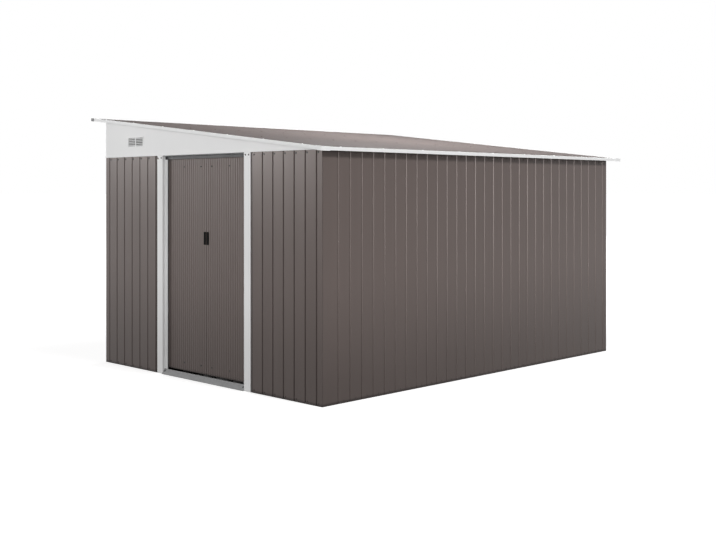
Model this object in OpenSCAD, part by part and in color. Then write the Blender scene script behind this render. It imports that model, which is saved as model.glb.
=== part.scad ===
// Metal storage shed with a single-slope roof and two sliding doors.
// Millimetres. The origin is on the ground at the middle of the walls.
// +X runs to the right along the front, +Y to the back, +Z up.

/* [Footprint] */
// Outside width of the walls, left to right
wall_w = 2574; // [2200:1:3200]
// Outside depth of the walls, front to back
wall_d = 3396; // [2400:1:4400]
// How far the roof stands out past the walls on every side
roof_overhang = 85; // [50:1:140]

/* [Heights] */
// Height of the gables' lower edge above the ground
gable_base = 1664; // [1500:1:1900]
// How much higher than the gables' lower edge the roof sits on the low wall
low_seat = 13; // [13:1:60]
// Rise of the roof from the low wall to the high wall
roof_rise = 293; // [180:1:400]

/* [Wall panels] */
// Thickness of the wall, door and roof sheets
sheet_t = 0.8; // [0.5:0.1:1.5]
// Distance between the pressed grooves in the side and back walls
groove_pitch = 110; // [80:1:150]
// Width of a wall groove at the sheet's face
groove_mouth = 13; // [12:1:26]
// Width of a wall groove at its floor
groove_floor = 4; // [4:0.5:9]
// Depth of a wall groove
groove_depth = 7; // [5:0.5:12]
// Number of grooves in one panel's width
panel_grooves = 7; // [4:1:10]
// Slit between two panels, along the floor of their shared groove
panel_slit = 1; // [0.5:0.1:2]
// How far the front and back sheets fold round the corners
corner_fold = 35; // [20:1:50]
// Distance from a corner to the first groove in the front wall
front_first_groove = 54.5; // [30:0.5:90]
// Distance between the grooves in the front wall
front_pitch = 108.5; // [80:0.5:150]
// How far the sheets stop above the ground
wall_lift = 1; // [1:1:15]

/* [Frame] */
// Thickness of the folded frame steel
frame_t = 1.5; // [1:0.1:2.5]
// Height of the base rails' standing leg
base_rail_h = 40; // [25:1:60]
// Width of the legs that the rails and corner posts turn inwards
frame_leg = 40; // [30:1:60]
// Depth of the eave rails' standing leg
eave_rail_h = 45; // [30:1:70]
// Height of the rails halfway up the walls
mid_rail_z = 820; // [600:1:1100]
// Depth of the rails halfway up the walls
mid_rail_h = 50; // [30:1:70]
// Width of a roof beam
beam_w = 40; // [30:1:60]
// Depth of a roof beam
beam_h = 60; // [40:1:80]
// Inward lips of a roof beam's open side
beam_lip = 12; // [8:1:14]
// Radius of the anchor holes in the base rails
anchor_r = 4.5; // [3:0.5:6]
// Distance from the wall's corner to the anchor holes
anchor_inset = 200; // [120:1:400]

/* [Doorway] */
// Width between the faces of the two door posts
post_gap = 982; // [850:1:1050]
// Width of a door post's face
post_face = 69; // [60:1:90]
// Depth from the wall sheet to the door post's inner flange
post_return = 28; // [20:1:32]
// Width of the door post's inner flange
post_flange = 29; // [15:1:36]
// Thickness of the door posts
post_t = 1.2; // [0.8:0.1:2]
// Height of the sill's tread
sill_h = 39; // [30:1:42]
// How far the sill's ramp reaches out in front of the wall sheet
sill_front = 10; // [4:1:40]
// Depth from the wall sheet to the top of the ramp
sill_crest = 20; // [10:1:22]
// Depth from the wall sheet to the back of the sill
sill_back = 26; // [24:0.5:27]

/* [Doors] */
// How far a closed leaf reaches behind its door post's face
leaf_overlap = 52.5; // [40:0.5:70]
// Gap between the two closed leaves
leaf_gap = 5; // [5:0.5:8]
// Depth from the wall sheet to the doors' face
door_recess = 45; // [42:0.5:48]
// Depth of the leaves' folded rim
leaf_rim = 20; // [16:1:22]
// Height of the leaves' lower edge above the ground
leaf_bottom = 48; // [44:1:56]
// Distance between the fine grooves in the leaves
leaf_pitch = 26; // [20:1:34]
// Width of a fine groove at the leaf's face
leaf_mouth = 11; // [8:1:14]
// Width of a fine groove at its floor
leaf_floor = 4; // [3:0.5:6]
// Depth of a fine groove
leaf_depth = 4; // [2:0.5:5]
// Plain margin at each side of a leaf
leaf_margin = 23; // [15:1:40]
// Width of a pull handle
handle_w = 23; // [20:1:34]
// Height of a pull handle
handle_h = 95; // [80:1:140]
// How far a pull handle stands out of the leaf
handle_proud = 4; // [3:0.5:8]
// Height of the handles' middle above the ground
handle_z = 1047; // [900:1:1150]

/* [Tracks] */
// Height of the top track's open side below the gables' lower edge
track_drop = 30; // [25:1:40]
// Height of the top track
track_h = 25; // [22:1:30]
// Depth of the top track, front to back
track_w = 54; // [52:1:60]
// Width of the lip that carries the hangers
track_lip = 11; // [9:1:11]
// Width of the bottom track's groove
guide_groove = 13; // [12:1:14]
// Height of the bottom track
guide_h = 22; // [15:1:22]

/* [Gables and vents] */
// Height of the folded hem along a gable's lower edge
hem_h = 10; // [6:1:11]
// How far that hem stands out from the wall sheet
hem_proud = 7; // [4:0.5:10]
// How far the brackets on the door posts hang below the gable
tab_drop = 38; // [28:1:50]
// How much narrower the left bracket is at its foot than at the gable
bracket_taper = 36; // [10:1:45]
// How far below the gable the face of the left post ends
post_cut = 26; // [10:1:27]
// Width of a vent plate
vent_w = 222; // [180:1:260]
// Height of a vent plate
vent_h = 86; // [60:1:110]
// Distance from the high wall to the middle of a vent
vent_x = 432; // [300:1:600]
// Height of a vent's middle above the gable's lower edge
vent_z = 116; // [80:1:130]
// Number of blades in each half of a vent
vent_blades = 5; // [3:1:6]

/* [Roof edge] */
// Number of roof panels
roof_panels_n = 5; // [4:1:6]
// Number of groove spaces in one roof panel
roof_spaces = 6; // [4:1:8]
// Height of the trim's face round the roof
trim_face = 22; // [16:1:40]
// Width of the trim's flange on the roof
trim_flange = 30; // [20:1:45]
// Width of the lip under the trim
trim_lip = 10; // [6:1:16]
// Thickness of the trim
trim_t = 1.2; // [0.8:0.1:2]
// Length of a corner cap's legs
cap_leg = 78; // [50:1:100]
// Thickness of a corner cap
cap_t = 2; // [1.5:0.1:3]
// How far a corner cap reaches below the trim
cap_drop = 3; // [1:0.5:6]
// Width of the plugs that close the high eave trim
plug_w = 40; // [30:1:60]

/* [Hidden] */

taupe = [0.42, 0.38, 0.37];
white = [0.90, 0.90, 0.90];
zinc = [0.60, 0.61, 0.62];
black = [0.04, 0.04, 0.04];
grey = [0.25, 0.25, 0.26];

// One overrun serves all cuts
cut = 1;
half_w = wall_w / 2;
half_d = wall_d / 2;
eave_h = gable_base + low_seat;
slope = roof_rise / wall_w;
roof_angle = atan(slope);

// Depth of a grooved wall, and the planes where the frame meets the sheets
wall_depth = groove_depth + sheet_t;
side_plane = half_w - sheet_t - wall_depth;
front_plane = half_d - wall_depth;
rail_end = side_plane - frame_t - frame_leg;

// Side walls start their grooves one pitch behind the corner fold
side_first_groove = corner_fold + groove_pitch;
groove_margin = corner_fold + groove_mouth + corner_fold / 3;
gable_lap_share = 0.75;
front_wall_h = gable_base + low_seat * gable_lap_share;

// Doorway
post_edge = post_gap / 2 + post_face;
sheet_lap = post_face / 3;
track_z = gable_base - track_drop;
track_top = track_z + track_h;
track_front = post_return;
track_back = track_front + track_w;
track_web = track_front - 2 * post_t;
head_web = wall_depth - 2 * post_t;

// Doors
leaf_w = post_gap / 2 - leaf_gap / 2 + leaf_overlap;
clearance = 5;
run_gap = 0.3;
leaf_top = track_top - frame_t - clearance - clearance / 10;
leaf_back = door_recess + leaf_depth + sheet_t;
hanger_inset = 72;
hanger_w = 40;
hanger_t = 3;
hanger_h = 100;
hanger_n = 3;
hook_gap = 1;
hook_h = 15;
guide_t = 8;
guide_flange = 16;
guide_flange_t = 3;
brace_h = 60;
handle_edge = 3;
handle_corner_share = 0.2;
grip_share = 0.62;
grip_floor = 1.5;

// Vents
vent_t = 3;
vent_rim = 11;
blade_t = 1.5;
blade_tilt = 35;
blade_bite = 1;
blade_depth_share = 0.7;
vent_hole_rim = 8;

// Roof, in its own sloping frame with z = 0 on the seat plane
roof_mid_z = eave_h + half_w * slope;
roof_half_x = (half_w + roof_overhang) / cos(roof_angle);
roof_half_y = half_d + roof_overhang;
roof_top = wall_depth;
trim_top = roof_top + trim_t;
trim_low = trim_top - trim_face;
roof_shift = -(trim_top + trim_low) / 2 * sin(roof_angle);
sheet_half_x = roof_half_x - trim_t - run_gap;
sheet_half_y = roof_half_y - trim_t - run_gap;
trim_half_x = roof_half_x - trim_t;
roof_panel_w = 2 * sheet_half_y / roof_panels_n;
roof_pitch = roof_panel_w / roof_spaces;
beam_x = wall_w / 6;
plug_corner_share = 0.12;

function reversed(list) = [for (i = [len(list) - 1 : -1 : 0]) list[i]];

// Height of the roof's seat plane over a place across the shed
function seat(x) = eave_h + (half_w - x) * slope;

// Sideways growth of a groove on the sheet's inner face, for an even thickness
function inner_growth(mouth, floor_w, depth, t) = t * tan(atan2(depth, (mouth - floor_w) / 2) / 2);

// One face of a grooved sheet from a to b: g is the groove's growth and v the face's depth.
// A panel that starts or ends on a seam stops on that groove's floor.
function sheet_face(a, b, grooves, seam_a, seam_b, mouth, floor_w, depth, slit, g, v) = concat(
  seam_a ? [[a + slit / 2, v + depth], [a + floor_w / 2 + g, v + depth], [a + mouth / 2 + g, v]] : [[a, v]],
  [for (c = grooves, p = [
    [c - mouth / 2 - g, v], [c - floor_w / 2 - g, v + depth],
    [c + floor_w / 2 + g, v + depth], [c + mouth / 2 + g, v]]) p],
  seam_b ? [[b - mouth / 2 - g, v], [b - floor_w / 2 - g, v + depth], [b - slit / 2, v + depth]] : [[b, v]]
);

// Grooved sheet in plan, its face on y = 0 and its thickness towards +y
module sheet_plan(a, b, grooves, seam_a, seam_b, mouth, floor_w, depth, slit) {
  g = inner_growth(mouth, floor_w, depth, sheet_t);
  polygon(concat(
    sheet_face(a, b, grooves, seam_a, seam_b, mouth, floor_w, depth, slit, 0, 0),
    reversed(sheet_face(a, b, grooves, seam_a, seam_b, mouth, floor_w, depth, slit, g, sheet_t))
  ));
}

// A run of panels from start to end, split at every groove that ends a panel
module panel_run(start, end, first, pitch, count, per_panel, index) {
  seams = [for (i = [per_panel - 1 : per_panel : count - 1]) i];
  marks = concat([-1], seams, [count]);
  from = marks[index];
  to = marks[index + 1];
  has_a = from >= 0;
  has_b = to < count;
  a = has_a ? first + from * pitch : start;
  b = has_b ? first + to * pitch : end;
  grooves = [for (i = [from + 1 : 1 : to - 1]) first + i * pitch];
  sheet_plan(a, b, grooves, has_a, has_b, groove_mouth, groove_floor, groove_depth, panel_slit);
}

function panel_count(count, per_panel) = floor(count / per_panel) + 1;

// Angle section in plan: a leg along +x and a leg along +y, both frame_t thick
module angle_plan(leg_x, leg_y) {
  square([leg_x, frame_t]);
  square([frame_t, leg_y]);
}

// Stands a profile drawn in (y, z) up along x, from x0 to x1
module along_x(x0, x1) {
  translate([x0, 0, 0]) rotate([90, 0, 90]) linear_extrude(x1 - x0) children();
}

// Lays a profile drawn in (x, z) along y, from y0 to y1
module along_y(y0, y1) {
  translate([0, y1, 0]) rotate([90, 0, 0]) linear_extrude(y1 - y0) children();
}

module on_roof() {
  translate([roof_shift, 0, roof_mid_z]) rotate([0, roof_angle, 0]) children();
}

// Base rails

module base_angle() {
  square([frame_leg, frame_t]);
  square([frame_t, base_rail_h]);
}

module front_base_rail_left() {
  translate([0, -front_plane, 0]) along_x(-rail_end, -post_edge + sheet_lap) base_angle();
}

module front_base_rails() {
  color(zinc) {
    front_base_rail_left();
    mirror([1, 0, 0]) front_base_rail_left();
  }
}

module left_base_rail() {
  color(zinc) difference() {
    translate([-side_plane, 0, 0]) along_y(-front_plane, front_plane) base_angle();
    for (side = [-1, 1])
      translate([-side_plane + frame_leg / 2, side * (half_d - anchor_inset), -cut])
        cylinder(h = frame_t + 2 * cut, r = anchor_r, $fn = 48);
  }
}

module right_base_rail() {
  mirror([1, 0, 0]) left_base_rail();
}

module back_base_rail() {
  color(zinc) mirror([0, 1, 0]) translate([0, -front_plane, 0]) along_x(-rail_end, rail_end) base_angle();
}

// Corner posts, standing on the side rails inside the frame

module corner_post(height) {
  translate([-side_plane + frame_t, -front_plane + frame_t, frame_t])
    linear_extrude(height - frame_t) angle_plan(frame_leg, frame_leg);
}

module front_left_corner_post() {
  color(zinc) corner_post(track_top);
}

module front_right_corner_post() {
  color(zinc) mirror([1, 0, 0]) corner_post(track_top);
}

module back_left_corner_post() {
  color(zinc) mirror([0, 1, 0]) corner_post(track_top);
}

module back_right_corner_post() {
  color(zinc) mirror([1, 0, 0]) mirror([0, 1, 0]) corner_post(track_top);
}

// Wall sheets

// From its last groove on, a front sheet stays down on the groove's floor and runs behind the door post
module front_sheet_plan() {
  end = half_w - post_edge + sheet_lap;
  count = floor((half_w - post_edge - front_first_groove - groove_mouth / 2) / front_pitch) + 1;
  last = front_first_groove + (count - 1) * front_pitch;
  grooves = [for (i = [0 : 1 : count - 2]) front_first_groove + i * front_pitch];
  sheet_plan(0, last, grooves, false, true, groove_mouth, groove_floor, groove_depth, panel_slit);
  translate([last - groove_floor / 2, groove_depth]) square([end - last + groove_floor / 2, sheet_t]);
  square([sheet_t, corner_fold]);
}

module front_wall_left() {
  color(taupe) translate([-half_w, -half_d, wall_lift])
    linear_extrude(front_wall_h - wall_lift) front_sheet_plan();
}

module front_wall_right() {
  mirror([1, 0, 0]) front_wall_left();
}

module back_wall() {
  count = floor((wall_w - 2 * front_first_groove) / groove_pitch) + 1;
  first = (wall_w - (count - 1) * groove_pitch) / 2;
  last = panel_count(count, panel_grooves) - 1;
  color(taupe) translate([-half_w, half_d, wall_lift]) mirror([0, 1, 0])
    linear_extrude(front_wall_h - wall_lift) {
      for (i = [0 : last]) panel_run(0, wall_w, first, groove_pitch, count, panel_grooves, i);
      square([sheet_t, corner_fold]);
      translate([wall_w - sheet_t, 0]) square([sheet_t, corner_fold]);
    }
}

module side_wall(top) {
  count = floor((wall_d - side_first_groove - groove_margin) / groove_pitch) + 1;
  last = panel_count(count, panel_grooves) - 1;
  translate([half_w - sheet_t, -half_d, wall_lift]) rotate([0, 0, 90])
    linear_extrude(top - wall_lift)
      for (i = [0 : last])
        panel_run(sheet_t, wall_d - sheet_t, side_first_groove, groove_pitch, count, panel_grooves, i);
}

module right_wall() {
  color(taupe) side_wall(seat(half_w));
}

module left_wall() {
  color(taupe) mirror([1, 0, 0]) side_wall(seat(-side_plane));
}

// Top rails: angles behind the front and back sheets, and sloping eave angles on the side walls

module front_top_rail() {
  color(zinc) translate([0, -front_plane, track_top])
    along_x(-rail_end, rail_end) {
      square([frame_leg, frame_t]);
      square([frame_t, front_wall_h - track_top]);
    }
}

module back_top_rail() {
  mirror([0, 1, 0]) front_top_rail();
}

// Section of the eave rail on the right wall: a standing leg with a flange that follows the roof
module right_eave_rail() {
  outer = side_plane;
  inner = side_plane - frame_t;
  tip = side_plane - frame_leg;
  color(zinc) along_y(-front_plane + frame_leg, front_plane - frame_leg)
    polygon([
      [outer, seat(outer) - eave_rail_h], [outer, seat(outer)], [tip, seat(tip)],
      [tip, seat(tip) - frame_t], [inner, seat(inner) - frame_t], [inner, seat(outer) - eave_rail_h]
    ]);
}

module left_eave_rail() {
  outer = -side_plane;
  inner = -side_plane + frame_t;
  tip = -side_plane + frame_leg;
  color(zinc) along_y(-front_plane + frame_leg, front_plane - frame_leg)
    polygon([
      [outer, seat(outer) - eave_rail_h], [outer, seat(outer)], [tip, seat(tip)],
      [tip, seat(tip) - frame_t], [inner, seat(inner) - frame_t], [inner, seat(outer) - eave_rail_h]
    ]);
}

// Rails halfway up the side and back walls: channels open to the inside

module mid_channel() {
  square([frame_t, mid_rail_h]);
  square([frame_leg / 2, frame_t]);
  translate([0, mid_rail_h - frame_t]) square([frame_leg / 2, frame_t]);
}

module wall_mid_rails() {
  low = mid_rail_z - mid_rail_h / 2;
  end = front_plane - 2 * frame_t - frame_leg;
  color(zinc) {
    for (side = [0, 1])
      mirror([side, 0, 0]) translate([-side_plane, 0, low]) along_y(-end, end) mid_channel();
    mirror([0, 1, 0]) translate([0, -front_plane, low]) along_x(-rail_end, rail_end) mid_channel();
  }
}

// Door posts: a return on the wall sheet, a face, a web turned in, and a flange in front of the doors

module door_post_plan(depth, flange) {
  polygon([
    [0, groove_depth], [0, 0], [post_face, 0], [post_face, depth], [post_face + flange, depth],
    [post_face + flange, depth + post_t], [post_face - post_t, depth + post_t],
    [post_face - post_t, post_t], [post_t, post_t], [post_t, groove_depth]
  ]);
}

// The flange stops under the track, and the web is stepped back in front of the track and of the top rail
module door_post() {
  translate([-post_edge, -half_d, 0]) {
    linear_extrude(track_z) door_post_plan(post_return, post_flange);
    linear_extrude(track_top) door_post_plan(track_web, 0);
    linear_extrude(gable_base) door_post_plan(head_web, 0);
  }
}

module left_door_post() {
  color(white) difference() {
    door_post();
    translate([-post_edge - post_t, -half_d - post_t, gable_base - post_cut])
      cube([post_face, groove_depth + 2 * post_t, post_cut + post_t]);
  }
}

module right_door_post() {
  color(white) mirror([1, 0, 0]) door_post();
}

// Sill between the posts: a bent plate with a ramp, a tread and a back leg
module door_sill() {
  ramp = atan2(sill_h, sill_front + sill_crest);
  drop = frame_t;
  run = frame_t / sin(ramp);
  fold = frame_t * tan(ramp / 2);
  color(zinc) translate([0, -half_d, 0]) along_x(-post_gap / 2, post_gap / 2)
    polygon([
      [-sill_front, 0], [sill_crest, sill_h], [sill_back, sill_h], [sill_back, 0],
      [sill_back - frame_t, 0], [sill_back - frame_t, sill_h - drop],
      [sill_crest + fold, sill_h - drop], [run - sill_front, 0]
    ]);
}

// Tracks behind the front wall

module top_track() {
  color(zinc) translate([0, -half_d, track_z]) along_x(-rail_end, rail_end) {
    translate([track_front, 0]) square([frame_t, track_h]);
    translate([track_front, track_h - frame_t]) square([track_w, frame_t]);
    translate([track_back - frame_t, 0]) square([frame_t, track_h]);
    translate([track_back - track_lip, 0]) square([track_lip, frame_t]);
  }
}

module bottom_track() {
  width = guide_groove + 2 * frame_t;
  color(zinc) translate([0, -front_plane + frame_leg, 0]) along_x(-rail_end, rail_end) {
    square([width, frame_t]);
    square([frame_t, guide_h]);
    translate([width - frame_t, 0]) square([frame_t, guide_h]);
  }
}

// Brackets that hold the posts' heads under the gable's hem
module post_bracket(taper) {
  translate([-post_edge, -half_d, gable_base]) rotate([90, 0, 0]) linear_extrude(sheet_t)
    polygon([[0, 0], [taper, -tab_drop], [post_face, -tab_drop], [post_face, 0]]);
}

module post_brackets() {
  color(white) {
    post_bracket(bracket_taper);
    mirror([1, 0, 0]) post_bracket(0);
  }
}

// Gables: a sheet that follows the roof, with a folded hem and a hole for the vent

module gable_sheet() {
  polygon([
    [-half_w, gable_base], [half_w, gable_base],
    [half_w, seat(half_w)], [-half_w, seat(-half_w)]
  ]);
}

module vent_hole() {
  translate([-half_w + vent_x, gable_base + vent_z])
    square([vent_w - 2 * vent_hole_rim, vent_h - 2 * vent_hole_rim], center = true);
}

module gable_hem() {
  translate([-half_w, -half_d - hem_proud, gable_base]) {
    cube([wall_w, hem_proud, sheet_t]);
    cube([wall_w, sheet_t, hem_h]);
  }
}

module plain_gable() {
  translate([0, -half_d, 0]) rotate([90, 0, 0]) linear_extrude(sheet_t) difference() {
    gable_sheet();
    vent_hole();
  }
  gable_hem();
}

module front_gable() {
  color(white) plain_gable();
}

module back_gable() {
  color(white) mirror([0, 1, 0]) plain_gable();
}

// Vent: a plate with two windows, each crossed by sloping blades

module vent() {
  window_w = (vent_w - 3 * vent_rim) / 2;
  window_h = vent_h - 2 * vent_rim;
  step = window_h / vent_blades;
  translate([-half_w + vent_x, -half_d - sheet_t, gable_base + vent_z]) {
    translate([-vent_w / 2, -vent_t, -vent_h / 2]) difference() {
      cube([vent_w, vent_t, vent_h]);
      for (i = [0, 1])
        translate([vent_rim + i * (window_w + vent_rim), -cut, vent_rim])
          cube([window_w, vent_t + 2 * cut, window_h]);
    }
    for (side = [-1, 1], i = [0 : vent_blades - 1])
      translate([side * (window_w + vent_rim) / 2, -vent_t / 2, -window_h / 2 + (i + 1 / 2) * step])
        rotate([-blade_tilt, 0, 0])
          cube([window_w + 2 * blade_bite, blade_t, step * blade_depth_share], center = true);
  }
}

module front_vent() {
  color(white) vent();
}

module back_vent() {
  color(white) mirror([0, 1, 0]) vent();
}

// Roof

module beam_plan() {
  translate([-beam_w / 2, -beam_h]) {
    square([beam_w, frame_t]);
    square([frame_t, beam_h]);
    translate([0, beam_h - frame_t]) square([beam_w, frame_t]);
    translate([beam_w - frame_t, 0]) square([frame_t, beam_lip]);
    translate([beam_w - frame_t, beam_h - beam_lip]) square([frame_t, beam_lip]);
  }
}

module roof_beams() {
  color(zinc) on_roof() for (side = [-1, 1])
    translate([side * beam_x, 0, 0]) along_y(-half_d, half_d) beam_plan();
}

// Section of one roof panel across its width, its face upwards
module roof_panel_plan(index) {
  grooves = [for (i = [1 : roof_spaces - 1]) i * roof_pitch];
  translate([0, roof_top]) mirror([0, 1, 0])
    sheet_plan(0, roof_panel_w, grooves, index > 0, index < roof_panels_n - 1,
      groove_mouth, groove_floor, groove_depth, panel_slit);
}

module roof_panels() {
  color(taupe) on_roof() for (i = [0 : roof_panels_n - 1])
    translate([0, -sheet_half_y + i * roof_panel_w, 0])
      along_x(-sheet_half_x, sheet_half_x) roof_panel_plan(i);
}

// Trim section: a flange on the roof, a face and a lip, with the face on x = 0
module trim_plan() {
  translate([0, trim_low]) {
    square([trim_t, trim_face]);
    square([trim_lip, trim_t]);
    translate([0, trim_face - trim_t]) square([trim_flange, trim_t]);
  }
}

module left_roof_trim() {
  color(white) on_roof() translate([-roof_half_x, 0, 0]) along_y(-roof_half_y, roof_half_y) trim_plan();
}

module right_roof_trim() {
  color(white) on_roof() mirror([1, 0, 0])
    translate([-roof_half_x, 0, 0]) along_y(-roof_half_y, roof_half_y) trim_plan();
}

// The front and back trims fit between the eave trims, with their flanges cut back at the corners
module end_trim() {
  translate([0, -roof_half_y, 0]) difference() {
    along_x(-trim_half_x, trim_half_x) trim_plan();
    for (side = [-1, 1])
      translate([side * trim_half_x, trim_flange / 2, trim_top])
        cube([2 * (trim_flange - trim_t), trim_flange + cut, 2 * trim_t], center = true);
    for (side = [-1, 1])
      translate([side * trim_half_x, trim_flange / 2, trim_low])
        cube([2 * (trim_lip - trim_t), trim_flange + cut, 2 * trim_t], center = true);
  }
}

module front_roof_trim() {
  color(white) on_roof() end_trim();
}

module back_roof_trim() {
  color(white) on_roof() mirror([0, 1, 0]) end_trim();
}

// Corner caps on the low side: two faces outside the trim, joined by a top plate
module corner_cap() {
  low = trim_low - cap_drop;
  height = trim_top + cap_t - low;
  translate([-roof_half_x - cap_t, -roof_half_y - cap_t, low]) {
    cube([cap_leg, cap_t, height]);
    cube([cap_t, cap_leg, height]);
    translate([0, 0, height - cap_t]) linear_extrude(cap_t)
      polygon([
        [0, 0], [cap_leg, 0], [cap_leg, trim_flange], [trim_flange, trim_flange],
        [trim_flange, cap_leg], [0, cap_leg]
      ]);
  }
}

module roof_corner_caps() {
  color(white) on_roof() for (y = [0, 1])
    mirror([1, 0, 0]) mirror([0, y, 0]) corner_cap();
}

// Plugs that close the ends of the high eave trim
module roof_end_plugs() {
  low = trim_low - cap_drop;
  height = trim_top - low;
  color(grey) on_roof() for (y = [0, 1])
    mirror([0, y, 0]) translate([-roof_half_x, -roof_half_y, low])
      rotate([90, 0, 0]) linear_extrude(cap_t) rounded_plan(plug_w, height, plug_w * plug_corner_share);
}

// Doors, drawn as the right leaf with its meeting edge near x = 0

module leaf_plan() {
  count = floor((leaf_w - 2 * leaf_margin) / leaf_pitch) + 1;
  first = (leaf_w - (count - 1) * leaf_pitch) / 2;
  grooves = [for (i = [0 : count - 1]) first + i * leaf_pitch];
  sheet_plan(0, leaf_w, grooves, false, false, leaf_mouth, leaf_floor, leaf_depth, panel_slit);
  square([sheet_t, leaf_rim]);
  translate([leaf_w - sheet_t, 0]) square([sheet_t, leaf_rim]);
}

module door_leaf() {
  translate([leaf_gap / 2, -half_d + door_recess, leaf_bottom]) {
    linear_extrude(leaf_top - leaf_bottom) leaf_plan();
    cube([leaf_w, leaf_rim, sheet_t]);
    translate([0, 0, leaf_top - leaf_bottom - sheet_t]) cube([leaf_w, leaf_rim, sheet_t]);
  }
}

module rounded_plan(w, h, r) {
  translate([r, 0]) square([w - 2 * r, h]);
  translate([0, r]) square([w, h - 2 * r]);
  for (x = [r, w - r], y = [r, h - r]) translate([x, y]) circle(r, $fn = 48);
}

// Pull handle: a rounded block with a finger scoop in its face
module door_handle() {
  r = handle_w * handle_corner_share;
  rim = handle_w * (1 - grip_share) / 2;
  translate([leaf_gap / 2 + handle_edge, -half_d + door_recess, handle_z - handle_h / 2])
    rotate([90, 0, 0]) difference() {
      linear_extrude(handle_proud) rounded_plan(handle_w, handle_h, r);
      translate([rim, rim, grip_floor]) linear_extrude(handle_proud)
        rounded_plan(handle_w - 2 * rim, handle_h - 2 * rim, r * grip_share);
    }
}

// Brace across the back of a leaf behind its handle
module door_brace() {
  translate([leaf_gap / 2 + sheet_t, -half_d + leaf_back, handle_z - brace_h / 2])
    cube([leaf_w - 2 * sheet_t, frame_t, brace_h]);
}

function hanger_places() = [
  for (i = [0 : hanger_n - 1])
    leaf_gap / 2 + hanger_inset + i * (leaf_w - 2 * hanger_inset) / (hanger_n - 1) - hanger_w / 2
];

// Hangers: plates behind the leaf whose hooks ride on the track's lip
module door_hangers() {
  hook_z = track_z + frame_t + run_gap;
  hook_end = track_back - frame_t - hook_gap;
  for (x = hanger_places()) translate([x, -half_d + leaf_back, 0]) {
    translate([0, 0, hook_z + hook_h - hanger_h]) cube([hanger_w, hanger_t, hanger_h]);
    translate([0, 0, hook_z]) cube([hanger_w, hook_end - leaf_back, hook_h]);
  }
}

// Guides: tongues under the leaf that run in the bottom track's groove
module door_guides() {
  groove_y = wall_depth + frame_leg + frame_t + guide_groove / 2;
  low = frame_t + clearance + run_gap;
  for (x = hanger_places()) translate([x, -half_d + groove_y, 0]) {
    translate([0, -guide_t / 2, low]) cube([hanger_w, guide_t, leaf_bottom - low]);
    translate([0, -guide_flange / 2, leaf_bottom - guide_flange_t])
      cube([hanger_w, guide_flange, guide_flange_t]);
  }
}

module right_door_leaf() {
  color(taupe) door_leaf();
}

module right_door_handle() {
  color(black) door_handle();
}

module right_door_brace() {
  color(zinc) door_brace();
}

module right_door_hangers() {
  color(black) door_hangers();
}

module right_door_guides() {
  color(black) door_guides();
}

module left_door_leaf() {
  mirror([1, 0, 0]) right_door_leaf();
}

module left_door_handle() {
  mirror([1, 0, 0]) right_door_handle();
}

module left_door_brace() {
  mirror([1, 0, 0]) right_door_brace();
}

module left_door_hangers() {
  mirror([1, 0, 0]) right_door_hangers();
}

module left_door_guides() {
  mirror([1, 0, 0]) right_door_guides();
}

front_base_rails();
left_base_rail();
right_base_rail();
back_base_rail();
front_left_corner_post();
front_right_corner_post();
back_left_corner_post();
back_right_corner_post();
front_wall_left();
front_wall_right();
left_wall();
right_wall();
back_wall();
front_top_rail();
back_top_rail();
left_eave_rail();
right_eave_rail();
wall_mid_rails();
left_door_post();
right_door_post();
post_brackets();
door_sill();
top_track();
bottom_track();
front_gable();
back_gable();
front_vent();
back_vent();
roof_beams();
roof_panels();
front_roof_trim();
back_roof_trim();
left_roof_trim();
right_roof_trim();
roof_corner_caps();
roof_end_plugs();
left_door_leaf();
left_door_handle();
left_door_brace();
left_door_hangers();
left_door_guides();
right_door_leaf();
right_door_handle();
right_door_brace();
right_door_hangers();
right_door_guides();
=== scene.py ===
"""Looks of a metal storage shed: painted sheet steel, white trim, zinc frame and plastic fittings.

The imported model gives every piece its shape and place. This file gives each one its finish, adds
the screws and the sealant in the seams, and sets up a plain studio with the camera. All lengths are
in metres.
"""

import math

import bpy
from bpy.props import FloatProperty, FloatVectorProperty, IntProperty, PointerProperty
from mathutils import Euler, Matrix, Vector


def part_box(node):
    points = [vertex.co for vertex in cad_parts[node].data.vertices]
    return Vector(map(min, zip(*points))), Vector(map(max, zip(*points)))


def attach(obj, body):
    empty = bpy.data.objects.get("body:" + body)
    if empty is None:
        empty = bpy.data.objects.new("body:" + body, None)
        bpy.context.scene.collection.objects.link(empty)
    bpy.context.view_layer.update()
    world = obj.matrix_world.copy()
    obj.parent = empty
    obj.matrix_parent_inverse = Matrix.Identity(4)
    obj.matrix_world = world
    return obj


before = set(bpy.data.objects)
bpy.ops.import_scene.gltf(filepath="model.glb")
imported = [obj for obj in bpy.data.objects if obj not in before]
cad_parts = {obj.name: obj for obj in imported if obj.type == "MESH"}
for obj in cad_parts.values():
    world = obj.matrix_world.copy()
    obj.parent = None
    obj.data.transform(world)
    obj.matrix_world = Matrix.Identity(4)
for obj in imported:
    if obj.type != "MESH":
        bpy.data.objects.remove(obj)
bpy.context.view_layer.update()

bl_info = {
    "name": "Metal Shed Looks",
    "version": (1, 0, 0),
    "blender": (4, 5, 0),
    "location": "View3D > Sidebar > Shed",
    "description": "Finishes, screws, sealant and studio for a metal storage shed",
    "category": "Object",
}

# The roof's fall from eave to eave, and the width of the walls under it
ROOF_FALL, ROOF_RUN = 0.293, 2.574

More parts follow.
